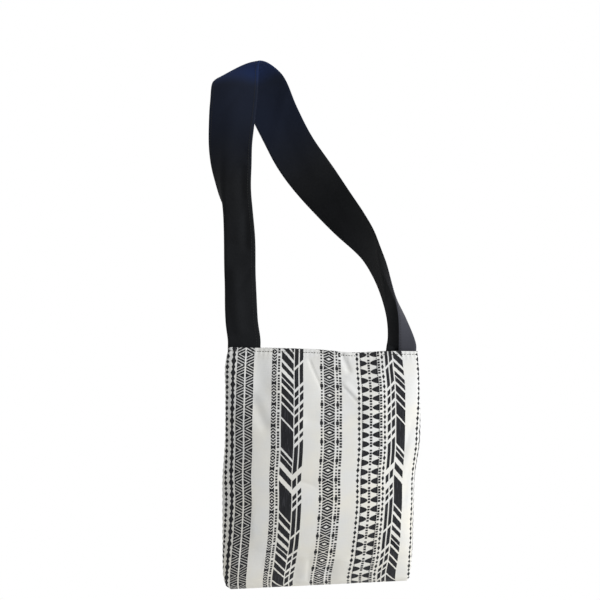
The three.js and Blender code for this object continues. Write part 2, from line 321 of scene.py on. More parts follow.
def diamondBand(n, u, v):
    aside = n("ABSOLUTE", n("SUBTRACT", u, diamond["centre"]))
    down = n("SUBTRACT", v, diamond["start"])
    away = n("PINGPONG", down, diamond["repeat"] / 2)
    nested = n("MULTIPLY_ADD", aside, diamond["slope"], n("SUBTRACT", away, diamond["outline"]))
    lines = n("LESS_THAN", n("PINGPONG", nested, diamond["line"] / 2), diamond["line"] * diamond["yarn"])
    lines = n("MULTIPLY", lines, n("GREATER_THAN", nested, diamond["open"]))
    column = n("MULTIPLY", lines, n("LESS_THAN", aside, diamond["half"]))
    place, count = diamond["beads"]
    edge = n("ABSOLUTE", n("SUBTRACT", aside, place))
    length, width = diamond["smallBead"]
    small = n("LESS_THAN", n("PINGPONG", down, diamond["repeat"] / count / 2), length)
    small = n("MULTIPLY", small, n("LESS_THAN", edge, width))
    length, width, taper = diamond["largeBead"]
    large = n("GREATER_THAN", n("MULTIPLY_ADD", edge, -taper, away), diamond["repeat"] / 2 - length)
    large = n("MULTIPLY", large, n("LESS_THAN", edge, width))
    return [column, n("MAXIMUM", small, large), dotLine(n, u, v, *diamond["dots"])]


# Fourth band: bow ties with a dotted middle between beaded and dotted lines
bow = {
    "centre": 243.3,
    "tip": 2.5,  # from the centre
    "base": 14.6,
    "half": 6.1,  # half height at the base
    "start": 3.7,
    "repeat": 15.38,
    "points": (1.2, 0.9, 0.8),  # marks between the bases: way from the base, half width, half height
    # place across, first large bead, half length and width of large and of small ones, repeat
    "beads": (224.0, 11.2, (4.8, 2.8), (3.0, 2.4), 17.2),
    "dashes": (266.3, 10.1, (4.8, 2.6), (3.0, 2.3), 17.15),
    "dots": (260.4, 12.0),
}


def bowBand(n, u, v):
    aside = n("ABSOLUTE", n("SUBTRACT", u, bow["centre"]))
    away = n("PINGPONG", n("SUBTRACT", v, bow["start"]), bow["repeat"] / 2)
    length = bow["base"] - bow["tip"]
    reach = n("SQRT", n("MULTIPLY_ADD", aside, 1 / length, -bow["tip"] / length))
    ties = n("LESS_THAN", away, n("MULTIPLY", reach, bow["half"]))
    ties = n("MULTIPLY", ties, n("COMPARE", aside, (bow["tip"] + bow["base"]) / 2, length / 2))
    fromBase, width, height = bow["points"]
    points = n("GREATER_THAN", away, bow["repeat"] / 2 - height)
    points = n("MULTIPLY", points, n("COMPARE", aside, bow["base"] - fromBase, width))
    middle = dotLine(n, u, v, bow["centre"], bow["dots"][1])
    beads = beadLine(n, u, v, *bow["beads"])
    dashes = beadLine(n, u, v, *bow["dashes"])
    return [ties, points, middle, beads, dashes, dotLine(n, u, v, *bow["dots"])]


def makePatternedCotton():
    material = bpy.data.materials.new("patternedCotton")
    material.use_nodes = True
    tree = material.node_tree
    tree.nodes.clear()
    n = partial(addNode, tree)
    flat = n("ShaderNodeUVMap", uv_map="clothMm")
    u, v, _ = n("ShaderNodeSeparateXYZ", flat)
    stepU = n("WRAP", n("SNAP", u, weave["thread"]), weave["across"], 0.0)
    stepV = n("SNAP", v, weave["thread"])
    motifs = hatchBand(n, stepU, stepV) + lozengeBand(n, stepU, stepV)
    motifs += diamondBand(n, stepU, stepV) + bowBand(n, stepU, stepV)
    motifs += [slantedBars(n, stepU, stepV, chart) for chart in (feather, brick)]
    yarn = reduce(partial(n, "MAXIMUM"), motifs)
    # slubs along the weft and along the warp
    along, across = (1 / size for size in weave["slub"])
    slubs = []
    for stretch in ((along, across, 1), (across, along, 1)):
        threads = n("ShaderNodeMapping", flat, named={"Scale": stretch})
        slubs.append(n("ShaderNodeTexNoise", threads, named={"Scale": 1.0})[0])
    slub = n("MULTIPLY_ADD", n("ADD", *slubs), *weave["slubShade"])
    cream = n("ShaderNodeMix", slub, linear(weave["cream"]), linear(weave["creamShade"]), data_type="RGBA")
    patches = n("ShaderNodeTexNoise", flat, named={"Scale": 1 / weave["warmPatch"]})[0]
    warmth = n("MULTIPLY_ADD", v, weave["warmer"], n("MULTIPLY_ADD", patches, *weave["warmth"]))
    cream = n("ShaderNodeMix", warmth, cream, linear(weave["warmCream"]), data_type="RGBA")
    least, strength = weave["fleck"]
    fleck = n("MULTIPLY", n("GREATER_THAN", slubs[1], least), strength)
    dark = n("ShaderNodeMix", fleck, linear(weave["yarn"]), linear(weave["yarnFleck"]), data_type="RGBA")
    colour = n("ShaderNodeMix", yarn, cream, dark, data_type="RGBA")
    rib = n("SUBTRACT", n("PINGPONG", u, weave["rib"] / 2), n("PINGPONG", v, weave["rib"] / 2))
    ribHeight, slubHeight, yarnHeight = weave["relief"]
    height = n("MULTIPLY_ADD", rib, ribHeight, n("MULTIPLY", slub, slubHeight))
    height = n("ADD", height, n("MULTIPLY", yarn, yarnHeight))
    bump = n("ShaderNodeBump", named={"Strength": 0.5, "Distance": mm, "Height": height})
    surface = n("ShaderNodeBsdfPrincipled", named={
        "Base Color": colour, "Roughness": 0.92, "IOR": 1.5, "Specular IOR Level": 0.2, "Normal": bump,
        "Sheen Weight": 0.2, "Sheen Roughness": 0.5,
    })
    n("ShaderNodeOutputMaterial", surface)
    return material


# Black cotton: dyed plain-weave cotton, doubled and pressed. The eye sees matte near black with paler
# dust in the weave; navy painted light over the shoulder, a bluer painted highlight on its crest, and painted
# light that turns the front arm grey.
blackCloth = {
    "dye": "#191a1c",
    "worn": "#2b2d30",
    # painted light: navy where the top of the shoulder catches the light
    "paintedShoulderLight": "#1a2132",
    "paintedShoulderLightShare": 0.8,
    "shoulder": (545.0, 110.0, 260.0),  # middle of the navy painted light along the strap, its full and its fading reach
    # painted highlight: bluer on the crest, where the strap faces up
    "paintedCrestHighlight": "#1f2d50",
    "paintedCrestHighlightReach": (22.0, 62.0),  # full and fading reach of the bluer painted highlight on the crest, where the cloth faces up
    # painted light: paler grey on the lit front arm
    "paintedArmLight": "#42434a",
    "paintedArmLightAlong": (1010.0, 1160.0),  # painted light on the front arm, which fades towards the bag
    "paintedArmLightAcross": (38.0, 31.0),  # only on its lit front side of the fold
    "rib": 1.8,  # mm, coarser than the real 0.6 so that it shows
    "patch": (50.0, 83.3),  # size of worn patches across and along the strap, mm
    "fibre": (1.43, 5.0),  # size of raised fibres, mm, coarser than the real 0.3 so that they show
    "wear": (0.9, 0.5, -0.45),  # contrast of the patches and the fibres, and how far both are held back
    "relief": (0.15, 0.15),  # bump of the rib and the fibres
}


def makeBlackCotton():
    material = bpy.data.materials.new("blackCotton")
    material.use_nodes = True
    tree = material.node_tree
    tree.nodes.clear()
    n = partial(addNode, tree)
    flat = n("ShaderNodeUVMap", uv_map="clothMm")
    u, v, _ = n("ShaderNodeSeparateXYZ", flat)
    noises = []
    for (across, along), detail in ((blackCloth["patch"], 4.0), (blackCloth["fibre"], 2.0)):
        spread = n("ShaderNodeMapping", flat, named={"Scale": (1 / across, 1 / along, 1)})
        noises.append(n("ShaderNodeTexNoise", spread, named={"Scale": 1.0, "Detail": detail})[0])
    patches, fibres = noises
    patchShare, fibreShare, heldBack = blackCloth["wear"]
    wear = n("MULTIPLY_ADD", patches, patchShare, n("MULTIPLY_ADD", fibres, fibreShare, heldBack))
    colour = n("ShaderNodeMix", wear, linear(blackCloth["dye"]), linear(blackCloth["worn"]), data_type="RGBA")
    # painted light: the navy tint lies only round the shoulder, where the strap's top is lit
    middle, full, fading = blackCloth["shoulder"]
    away = n("ABSOLUTE", n("SUBTRACT", v, middle))
    share = blackCloth["paintedShoulderLightShare"]
    paintedShoulderLight = n("ShaderNodeMapRange", away, fading, full, 0.0, share, interpolation_type="SMOOTHSTEP")
    colour = n("ShaderNodeMix", paintedShoulderLight, colour, linear(blackCloth["paintedShoulderLight"]), data_type="RGBA")
    # painted highlight: bluer on the crest, where the cloth faces up into the light
    full, fading = blackCloth["paintedCrestHighlightReach"]
    paintedCrestHighlightMask = n("ShaderNodeMapRange", away, fading, full, interpolation_type="SMOOTHSTEP")
    colour = n("ShaderNodeMix", paintedCrestHighlightMask, colour, linear(blackCloth["paintedCrestHighlight"]), data_type="RGBA")
    # painted light: paler grey on the front side of the arm near the bag, where it faces the light
    paintedArmLightAlong = n("ShaderNodeMapRange", v, *blackCloth["paintedArmLightAlong"], interpolation_type="SMOOTHSTEP")
    paintedArmLightAcross = n("ShaderNodeMapRange", u, *blackCloth["paintedArmLightAcross"], interpolation_type="SMOOTHSTEP")
    paintedArmLight = n("MULTIPLY", paintedArmLightAlong, paintedArmLightAcross)
    colour = n("ShaderNodeMix", paintedArmLight, colour, linear(blackCloth["paintedArmLight"]), data_type="RGBA")
    rib = n("PINGPONG", n("ADD", u, v), blackCloth["rib"] / 2)
    ribHeight, fibreHeight = blackCloth["relief"]
    height = n("MULTIPLY_ADD", rib, ribHeight, n("MULTIPLY", fibres, fibreHeight))
    bump = n("ShaderNodeBump", named={"Strength": 0.5, "Distance": mm, "Height": height})
    surface = n("ShaderNodeBsdfPrincipled", named={
        "Base Color": colour, "Roughness": 0.88, "IOR": 1.5, "Specular IOR Level": 0.06, "Normal": bump,
        "Sheen Weight": 0.05, "Sheen Roughness": 0.45,
    })
    n("ShaderNodeOutputMaterial", surface)
    return material


# Sewing cotton: spun, lightly polished thread. The eye sees its twist as fine light and dark, with a
# soft shine, black on the strap and grey on the off-white hem, where the grey is darkened to paint the shadow
# of the stitch groove.
sewingCotton = {
    # grey thread drawn darker, as painted shadow of the groove the hem stitches lie in
    "hem": "#48453f",
    "strap": "#0e0f12",
    "twist": 1.111,  # mm, coarser than the real 0.4 so that it shows
    "twistShade": 0.8,  # brightness of its darker side
}


def makeThread(name, hexColour):
    material = bpy.data.materials.new(name)
    material.use_nodes = True
    tree = material.node_tree
    tree.nodes.clear()
    n = partial(addNode, tree)
    place = n("ShaderNodeTexCoord")[3]
    twist = n("ShaderNodeTexNoise", place, named={"Scale": 1 / (sewingCotton["twist"] * mm)})
    shade = [c * sewingCotton["twistShade"] for c in linear(hexColour)[:3]] + [1]
    colour = n("ShaderNodeMix", twist[0], linear(hexColour), shade, data_type="RGBA")
    surface = n("ShaderNodeBsdfPrincipled", named={"Base Color": colour, "Roughness": 0.7, "IOR": 1.5})
    n("ShaderNodeOutputMaterial", surface)
    return material


patternedCotton = makePatternedCotton()
blackCotton = makeBlackCotton()
hemThreadWithGrooveShadow = makeThread("greySewingCottonWithGrooveShadow", sewingCotton["hem"])
blackThread = makeThread("blackSewingCotton", sewingCotton["strap"])
print("materials made")

# The pouch: two panels that meet at the side seams and the bottom fold
pouch = {
    "place": (138.5, -125.0, -479.0),  # middle of the mouth
    "turn": 6.0,  # degrees about the upright
    "cloth": 1.3,  # thickness
    "flat": 337.0,  # width of a panel laid flat
    "mouth": 2.6,  # way down the cloth at the mouth's edge, where the pattern is cut
    "hem": 13.0,  # depth of the doubled hem
    "gap": 0.3,  # between the panels at the seams
    "rows": 215,
    "columns": 170,
    "closer": (0.4, 0.25),  # share of closer spacing: of columns at the seams, of rows at the bottom
    "middle": 168.0,  # place on the pattern's chart at the middle of the front
    "gathered": (120, 180),  # the cloth is gathered above the first way down, and not below the second
    "foldFade": (0.12, 8.0),  # folds fade over this share of the width at the seams, and where it is thinner
    "ripple": (0.35, 28, 75),  # height, shortest and longest wave of the soft cloth
    "rippleSeeds": (5, 6),  # front, back
    "rippleFrom": (0, 10),  # fullness over which the ripples come up
    "hemStitch": 4.4,  # from the edge of the mouth
    "stitchLift": 0.15,  # of the hem stitches off the cloth
    "stitchGroove": (1.0, 1.7),  # depth, reach
    "seamGroove": (0.8, 2.2),
    # puckers along the hem stitches and the seams: wave length, height, reach, unevenness and its way
    "hemPucker": (7.5, 0.45, 8.0, 1.5, 31.0),
    "hemPuckerFrom": (2, 12),  # way from the seams over which they come up
    "seamPucker": (11.0, 0.5, 7.0, 1.0, 17.0),
    "seamPuckerFrom": (20, 40),  # way down over which they come up
    "hemStep": 0.5,  # how far the doubled hem stands out
    "hemStepFrom": (0, 10),  # way from the seams over which it comes up
    "hemSlope": (-1.0, 1.5),  # from and to, round the hem's depth
    "reliefEnd": (0, 12),  # way from the bottom fold over which all of this comes up
    "turnedEnd": 0.5,  # half width of the step inside, where the turned cloth ends
    "room": (0.9, 0.25),  # share of the fullness that a wall may fill, and its least thickness
    "edgeTurns": (80, 50, 22),  # degrees of the rows that round the mouth's edge over
    "edgeLifts": (1.6, 1.0, 0.5),  # how far the pattern goes on up these rows
    # dip of the mouth's edge: middle, reach, depth, and how fast it fades downwards
    "dip": (50.0, 45.0, 4.7, 70.0),
    # way down the cloth, drop, half width, shift, recess, front and back fullness, squareness, tilt
    "levels": [
        (2.6, 2.6, 155.7, 1.3, 0, 10.5, 9.5, 5, -3.8),
        (30, 29, 159.5, 0, 0, 15, 12, 3.8, -2.5),
        (70, 67, 160.4, 0.6, 0, 24, 15, 2.7, -2),
        (114, 110, 161, 1.2, 0, 31.5, 18, 2.2, -1),
        (154, 150, 161, 0.6, 0, 34.5, 20, 2.1, 0),
        (219, 215, 158.6, -6, 0, 36, 23, 2.1, 0.5),
        (252, 248, 158, -6.6, 0, 36, 24, 2.1, 1),
        (294, 290, 157.4, -6.7, 3, 33, 24, 2.3, 2),
        (326, 320, 157, -6.5, 7, 27.6, 22, 2.6, 3),
        (357, 349, 156.4, -6.5, 12, 21, 19, 3, 3.5),
        (386, 374, 155, -6, 18, 12, 12.5, 3, 4),
        (402, 387, 151.5, -4.4, 21, 6, 6.5, 3, 4.2),
        (410, 391.5, 146, -2.5, 22, 0, 0, 3, 4.2),
    ],
    # folds as lines on a panel: x, drop, to x, to drop, push inwards, reach to both sides
    "frontFolds": [
        (-114, 4, -106, 62, 4, 20), (-117, 82, -99, 124, 2.6, 10), (-74, 46, -62, 150, -1.5, 15),
        (-26, 8, 8, 76, 0.8, 13), (33, 8, 43, 40, -1.2, 11), (-24, 112, 52, 114, 1, 10),
        (-30, 117, 2, 119, 1.2, 8), (96, 20, 78, 110, -2.5, 16), (152, 128, 112, 206, 2.5, 14),
        (-60, 214, 6, 222, 1.8, 13), (-120, 326, -20, 338, 2.4, 12), (20, 330, 118, 318, 2.4, 12),
        (-126, 342, -96, 346, 2, 10), (-42, 346, -44, 392, 3, 13), (18, 349, 14, 392, 2.6, 13),
    ],
    "backFolds": [
        (-110, 20, -60, 150, 4, 16), (104, 24, 58, 160, 4, 16), (-20, 14, -8, 100, 3, 15),
        (-90, 318, 70, 326, 2.4, 14),
    ],
    # fine creases, in the same columns
    "frontCreases": [
        (-23, 20, -5, 64, 1.6, 2), (30, 6, 41, 33, 2.8, 5), (35, 56, 56, 79, -1.8, 5),
        (32, 61, 53, 85, 1, 2), (-35, 213, -11, 221, 0.9, 3), (-117, 245, -115, 302, 1, 5),
        (146, 120, 132, 170, 0.8, 5), (150, 160, 140, 250, 1.4, 5), (-40, 338, 2, 341, -1.2, 6),
        (-16, 348, -18, 380, 1, 3), (16, 345, 44, 347, -1.2, 6), (128, 347, 152, 345, 3, 8),
    ],
    "backCreases": [
        (-90, 60, -70, 120, 1.4, 4), (60, 40, 44, 96, 1.4, 4), (-20, 200, 30, 210, 1.0, 4),
        (-140, 120, -120, 180, 1.4, 5), (140, 140, 118, 196, 1.4, 5),
    ],
    # the cloth was cut a little off the thread: way down, then how far the four bands and the cloth at
    # the right seam drift across
    "drift": [
        (0, -4.1, -0.7, -0.7, 0.1, 2.3), (30, -0.3, 1.5, 0.3, -0.2, 0.4), (60, -0.5, 1, 0, 0, 0.4),
        (140, -4, -1.3, -2.3, -0.5, -5.8), (195, -0.3, 1.2, 0.2, 2.3, -8), (245, 3.5, 3, 2.5, 3.5, -7),
        (295, 1.8, 1.8, -0.2, 0.9, -10), (345, -0.9, -1.9, -3.4, -1.9, -13), (395, -3, -7, -8.5, -6, -13),
        (410, -4, -8.5, -9.5, -7, -13),
    ],
    "driftPlaces": (30, 108, 178, 262, 302, 337),  # across; the fourth band drifts as one
    # the weft bows: way down, then how much lower it lies at five places across
    "weftBow": [
        (0, 0, 0, 1.6, 1.6, 0), (125, 0, 0, 1.4, 1.6, 0), (165, 0, 0, 0, 0.6, 0), (205, 0, -0.6, 0, 0, -1.6),
        (250, 0, 0, 0, 0, -3.2), (305, 0, -0.4, 0, 0, -3.2), (325, 1.4, -1.8, 0, 0, -3.2),
        (348, 1.8, -4.6, -1, 0, -2.8), (375, 4.4, -4, 0.6, 0.6, -1), (410, 6, -3, 1.4, 1.4, 0),
    ],
    "bowPlaces": (38, 112, 178, 245, 290),
}


# One level of a panel as an outline between its seams, at even shares of its length.
def outlineRow(half, depth, square, shares):
    angle = np.linspace(0, math.pi, 1601)
    across = -np.sign(np.cos(angle)) * np.abs(np.cos(angle)) ** (2 / square) * half
    outward = np.abs(np.sin(angle)) ** (2 / square) * depth
    way = np.concatenate([[0], np.cumsum(np.hypot(np.diff(across), np.diff(outward)))])
    at = shares * way[-1]
    return np.interp(at, way, across), np.interp(at, way, outward), way[-1]


# How far fold lines push a panel in at each of its points.
def foldPush(folds, x, drop):
    push = np.zeros(x.shape)
    for fromX, fromDrop, toX, toDrop, depth, reach in folds:
        lineX, lineDrop = toX - fromX, toDrop - fromDrop
        share = ((x - fromX) * lineX + (drop - fromDrop) * lineDrop) / (lineX**2 + lineDrop**2)
        share = np.clip(share, 0, 1)
        away = np.hypot(x - fromX - share * lineX, drop - fromDrop - share * lineDrop)
        push += depth * np.exp(-((away / reach) ** 2))
    return push


def toFrame(points):
    turn = math.radians(pouch["turn"])
    x, y, z = np.moveaxis(points, -1, 0)
    turned = [x * math.cos(turn) - y * math.sin(turn), x * math.sin(turn) + y * math.cos(turn), z]
    return np.stack(turned, -1) + pouch["place"]


# Rows of one panel without its folds: places across, fullness, drop, recess, shift, rise and length;
# side is -1 for the front and 1 for the back.
def panelRows(side, downs, shares):
    middle, reach, depth, fade = pouch["dip"]
    rows = []
    for down, level in zip(downs, readTable(pouch["levels"], downs)):
        drop, half, shift, recess, front, back, square, tilt = level
        x, out, length = outlineRow(half, max(front if side < 0 else back, 0), square, shares)
        dip = depth * np.exp(-(((x - middle) / reach) ** 2) - down / fade)
        rows.append(np.broadcast_arrays(x, out, drop, recess, shift, tilt * x / half - dip, length))
    return np.moveaxis(np.array(rows), 1, 0)


# Uneven waves along a sewn line, lower with the distance away from it.
def pucker(along, away, length, height, reach, uneven, unevenWay):
    wave = np.sin(2 * math.pi * along / length + uneven * np.sin(along / unevenWay))
    return height * wave * np.exp(-((away / reach) ** 2))


# Fine relief of a panel: ripples of soft cloth, puckered lines, the hem's step, and grooves.
def panelRelief(side, u, v, seam, out):
    height, shortest, longest = pouch["ripple"]
    seed = pouch["rippleSeeds"][side > 0]
    relief = height * ripples(np.stack([u, v], -1), seed, shortest, longest)
    relief *= smoothStep(out, *pouch["rippleFrom"])
    fromEdge = v - pouch["mouth"]
    fromStitch = fromEdge - pouch["hemStitch"]
    relief += pucker(u, fromStitch, *pouch["hemPucker"]) * smoothStep(seam, *pouch["hemPuckerFrom"])
    relief += pucker(v, seam, *pouch["seamPucker"]) * smoothStep(v, *pouch["seamPuckerFrom"])
    low, high = pouch["hemSlope"]
    step = pouch["hemStep"] * (1 - smoothStep(fromEdge, pouch["hem"] + low, pouch["hem"] + high))
    relief += step * smoothStep(seam, *pouch["hemStepFrom"])
    for away, (depth, reach) in ((fromStitch, pouch["stitchGroove"]), (seam, pouch["seamGroove"])):
        relief -= depth * np.exp(-((away / reach) ** 2))
    return relief * smoothStep(pouch["levels"][-1][0] - v, *pouch["reliefEnd"])


# Where the pattern's chart is read at each point. On the back it goes on round the right seam.
def chartPlaces(side, u, v):
    if side > 0:
        return np.stack([4 * pouch["middle"] - u, v], -1)
    downs = v[:, 0]
    drift, lower = [], []
    for row, shifts, bows in zip(u, readTable(pouch["drift"], downs), readTable(pouch["weftBow"], downs)):
        drift.append(np.interp(row, pouch["driftPlaces"], [*shifts[:4], *shifts[3:]]))
        lower.append(np.interp(row, pouch["bowPlaces"], bows))
    return np.stack([u - drift, v - lower], -1)


# Outer points, inner points, places on the chart and outward directions of one panel.
def panelGrids(side):
    atSeams, atBottom = pouch["closer"]
    even = np.linspace(0, 1, pouch["columns"])
    shares = (1 - atSeams) * even + atSeams * (0.5 - 0.5 * np.cos(math.pi * even))
    even = np.linspace(0, 1, pouch["rows"])
    downs = (1 - atBottom) * even + atBottom * np.sin(even * math.pi / 2)
    downs = pouch["mouth"] + (pouch["levels"][-1][0] - pouch["mouth"]) * downs
    x, out, drop, recess, shift, rise, wide = panelRows(side, downs, shares)
    v = np.repeat(downs[:, None], len(shares), 1)
    gathered = np.maximum(pouch["flat"] - wide, 0) * (1 - smoothStep(v, *pouch["gathered"]))
    u = pouch["middle"] + (shares - 0.5) * (wide + gathered)
    seamShare = np.minimum(shares, 1 - shares)
    fadeShare, thin = pouch["foldFade"]
    fadeIn = smoothStep(seamShare, 0, fadeShare) * np.minimum(out / thin, 1)
    names = ("frontFolds", "frontCreases") if side < 0 else ("backFolds", "backCreases")
    push = sum(foldPush(pouch[name], x, drop) for name in names) * fadeIn
    base = np.stack([x + shift, side * (out - push) + recess + side * pouch["gap"] / 2, rise - drop], -1)
    normals = gridNormals(base) * -side
    normals[-1] = (0, 0, -1)
    outer = base + normals * panelRelief(side, u, v, seamShare * wide, out)[..., None]
    fromTurnedEnd = v - pouch["mouth"] - pouch["hem"]
    layers = 2 - smoothStep(fromTurnedEnd, -pouch["turnedEnd"], pouch["turnedEnd"])
    share, least = pouch["room"]
    thickness = np.minimum(layers * pouch["cloth"], np.maximum(out * share, least))
    inner = outer - normals * thickness[..., None]
    return outer, inner, chartPlaces(side, u, v), normals


# Rounds a doubled edge over between the outer and inner grids' first rows.
def roundEdge(outer, inner, flat, normals):
    centre = (outer[0] + inner[0]) / 2
    radius = np.linalg.norm(outer[0] - inner[0], axis=-1, keepdims=True) / 2
    up = np.array([0, 0, 1.0])
    turns = [math.radians(a) for a in pouch["edgeTurns"]]
    over = [centre + radius * (normals[0] * math.cos(a) + up * math.sin(a)) for a in turns]
    under = [centre + radius * (up * math.sin(a) - normals[0] * math.cos(a)) for a in turns]
    lift = [flat[0] - (0, a) for a in pouch["edgeLifts"]]
    return np.array(over + list(outer)), np.array(under + list(inner)), np.array(lift + list(flat))


# Makes one panel and returns it with the line of its hem stitches.
def makePanel(name, node, side):
    outer, inner, flat, normals = panelGrids(side)
    row = int(np.argmin(np.abs(flat[:, 0, 1] - pouch["mouth"] - pouch["hemStitch"])))
    line = toFrame(outer[row] + normals[row] * pouch["stitchLift"])
    outer, inner, flat = roundEdge(outer, inner, flat, normals)
    if side > 0:
        outer, inner, flat = outer[:, ::-1], inner[:, ::-1], flat[:, ::-1]
    panel = wallPiece(name, toFrame(outer), toFrame(inner), flat, patternedCotton)
    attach(panel, "root")
    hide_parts(node)
    return panel, line


frontPanel, frontLine = makePanel("frontPanel", "front_panel", -1)
backPanel, backLine = makePanel("backPanel", "back_panel", 1)
print("pouch panels made")

# The strap: one doubled band from inside the left end of the mouth over the shoulder to the right end
strap = {
    "width": 82.0,
    "thickness": 2.2,
    "tuck": 28.0,  # how deep its ends go into the mouth
    "inset": (0.2, 2.8),  # of its fold from the left and right seam
    "arms": (54.0, 31.0),  # width in front of the seam at the left and right end
    "endBend": 3.3,  # radius of the fold in the mouth
    "endPlace": -0.4,  # of the fold behind the middle of the mouth
    "endHeights": (-4.0, 9.0),  # places above the tucked ends where the fold still lies at the seam
    "columns": (14, 12),  # on each arm, and round the fold
    "steps": 20,  # between stations
    "ripple": (0.6, 45, 130),  # height, shortest and longest wave
    "sway": (0.8, 60, 160),  # waviness of the edges, in the same way
    "waveSeeds": (11, 12),  # ripple, sway
    "wavesFrom": (40, 110),  # way from both ends over which the waves come up
    "edgeStitch": 4.0,  # from both edges
    "stitchGroove": (0.25, 1.1),  # depth, reach
    "edgeRoll": (1.4, 0.04),  # width over which the pressed edges are rounded, and the least share at the rim
    # creases: across, along, to across, to along, push inwards, reach to both sides
    "creases": [
        (33, 56, 34, 150, -4, 10), (16, 192, 15, 320, 3.6, 8),
        (27, 200, 14, 262, -1.4, 6), (4, 165, 36, 106, 1.1, 5), (40, 300, 12, 348, 1.3, 8),
        (60, 420, 30, 470, 1.2, 9), (14, 640, 60, 700, 1.2, 10), (20, 1010, 60, 1070, 1.2, 8),
    ],
    # fold line's place x, y, z, then facing, lift, fold in all, bend radius and arm
    "stations": [
        (-18.4, -139, -437, -78, 0, 156, 3.5, 53),
        (-20.2, -135, -367, -66, 0, 132, 4, 51),
        (-21, -131, -302, -56, 0, 112, 5, 50),
        (-22.2, -128, -256, -50, 0, 98, 7, 48),
        (-24, -124, -217, -39, 0, 76, 12, 47),
        (-23, -117, -179, -30, 3, 52, 22, 46),
        (-20, -108, -147, -25, 9, 32, 40, 44),
        (-15.5, -95, -116, -18, 20, 20, 60, 42),
        (-11, -64, -64, -8, 38, 22, 80, 41),
        (-9, -32, -22, -12, 58, 32, 100, 41),
        (0, 0, 1, -88, 66, 42, 100, 41),
        (33, 34, -20, -158, 52, 34, 100, 41),
        (59, 70, -73, -178, 24, 20, 80, 41),
        (93, 93, -137, -188, 8, 8, 60, 41),
        (138, 93, -198, -204, 2, 0, 40, 40),
        (182, 70, -252, -231, 0, 0, 20, 39),
        (219, 26, -298, -258, 0, 0, 12, 37),
        (243, -22, -353, -265, 0, 4, 8, 35),
        (261, -58, -397, -268, 0, 26, 5, 33),
        (278, -86, -433, -265, 0, 70, 4, 32),
    ],
}


# Stations at a side seam; side is -1 left and 1 right.
def mouthStations(side):
    half, shift, tilt = (pouch["levels"][0][i] for i in (2, 3, 8))
    facing = (-90 if side < 0 else -270) + pouch["turn"]
    x = side * (half - strap["inset"][side > 0]) + shift
    stations = []
    for height in (-strap["tuck"], *strap["endHeights"]):
        place = toFrame(np.array([x, strap["endPlace"], height + side * tilt]))
        stations.append((*place, facing, 0, 180, strap["endBend"], strap["arms"][side > 0]))
    return stations


# Start and end slopes of each span of an even-tempered curve through points (its first axis).
def curveSlopes(points):
    ends = [2 * points[:1] - points[1:2], 2 * points[-1:] - points[-2:-1]]
    p = np.concatenate([ends[0], points, ends[1]])
    gap = np.maximum(np.linalg.norm(np.diff(p, axis=0), axis=-1, keepdims=True) ** 0.5, 1e-4)
    lead = np.diff(p, axis=0) / gap
    double = (p[2:] - p[:-2]) / (gap[:-1] + gap[1:])
    slope = lead[:-1] - double + lead[1:]
    return slope[:-1] * gap[1:-1], slope[1:] * gap[1:-1]


def loft(points, steps):
    begin, finish = curveSlopes(points)
    rows = []
    for i in range(len(points) - 1):
        for step in range(steps):
            t = step / steps
            near = (2 * t**3 - 3 * t**2 + 1) * points[i] + (t**3 - 2 * t**2 + t) * begin[i]
            rows.append(near + (3 * t**2 - 2 * t**3) * points[i + 1] + (t**3 - t**2) * finish[i])
    return np.array(rows + [points[-1]])


# Distances across the strap from its inner edge, closer together round the fold.
def acrossPlaces(arm):
    bend = strap["endBend"] * math.pi / 2
    flatCount, bendCount = strap["columns"]
    bounds = (0, arm - bend, arm + bend, strap["width"])
    counts = (flatCount, bendCount, flatCount)
    parts = zip(bounds[:-1], bounds[1:], counts)
    places = [np.linspace(low, high, count, endpoint=False) for low, high, count in parts]
    return np.concatenate([*places, [strap["width"]]])


# Points across the strap's middle layer at a station, folded evenly to both sides of its arm.
def strapSection(station, travel):
    x, y, z, facing, lift, fold, bend, arm = station
    turn, rise, half = np.radians([facing, lift, fold / 2])
    face = [math.sin(turn) * math.cos(rise), -math.cos(turn) * math.cos(rise), math.sin(rise)]
    across = unit(np.cross(travel, face))
    outward = unit(np.cross(across, travel))
    offset = arm - acrossPlaces(arm)
    away = np.abs(offset)
    arc = np.minimum(away, bend * half) / bend
    straight = np.maximum(away - bend * half, 0)
    sideways = np.sign(offset) * (bend * np.sin(arc) + straight * math.cos(half))
    inward = bend * (1 - np.cos(arc)) + straight * math.sin(half)
    return np.array([x, y, z]) + sideways[:, None] * across - inward[:, None] * outward


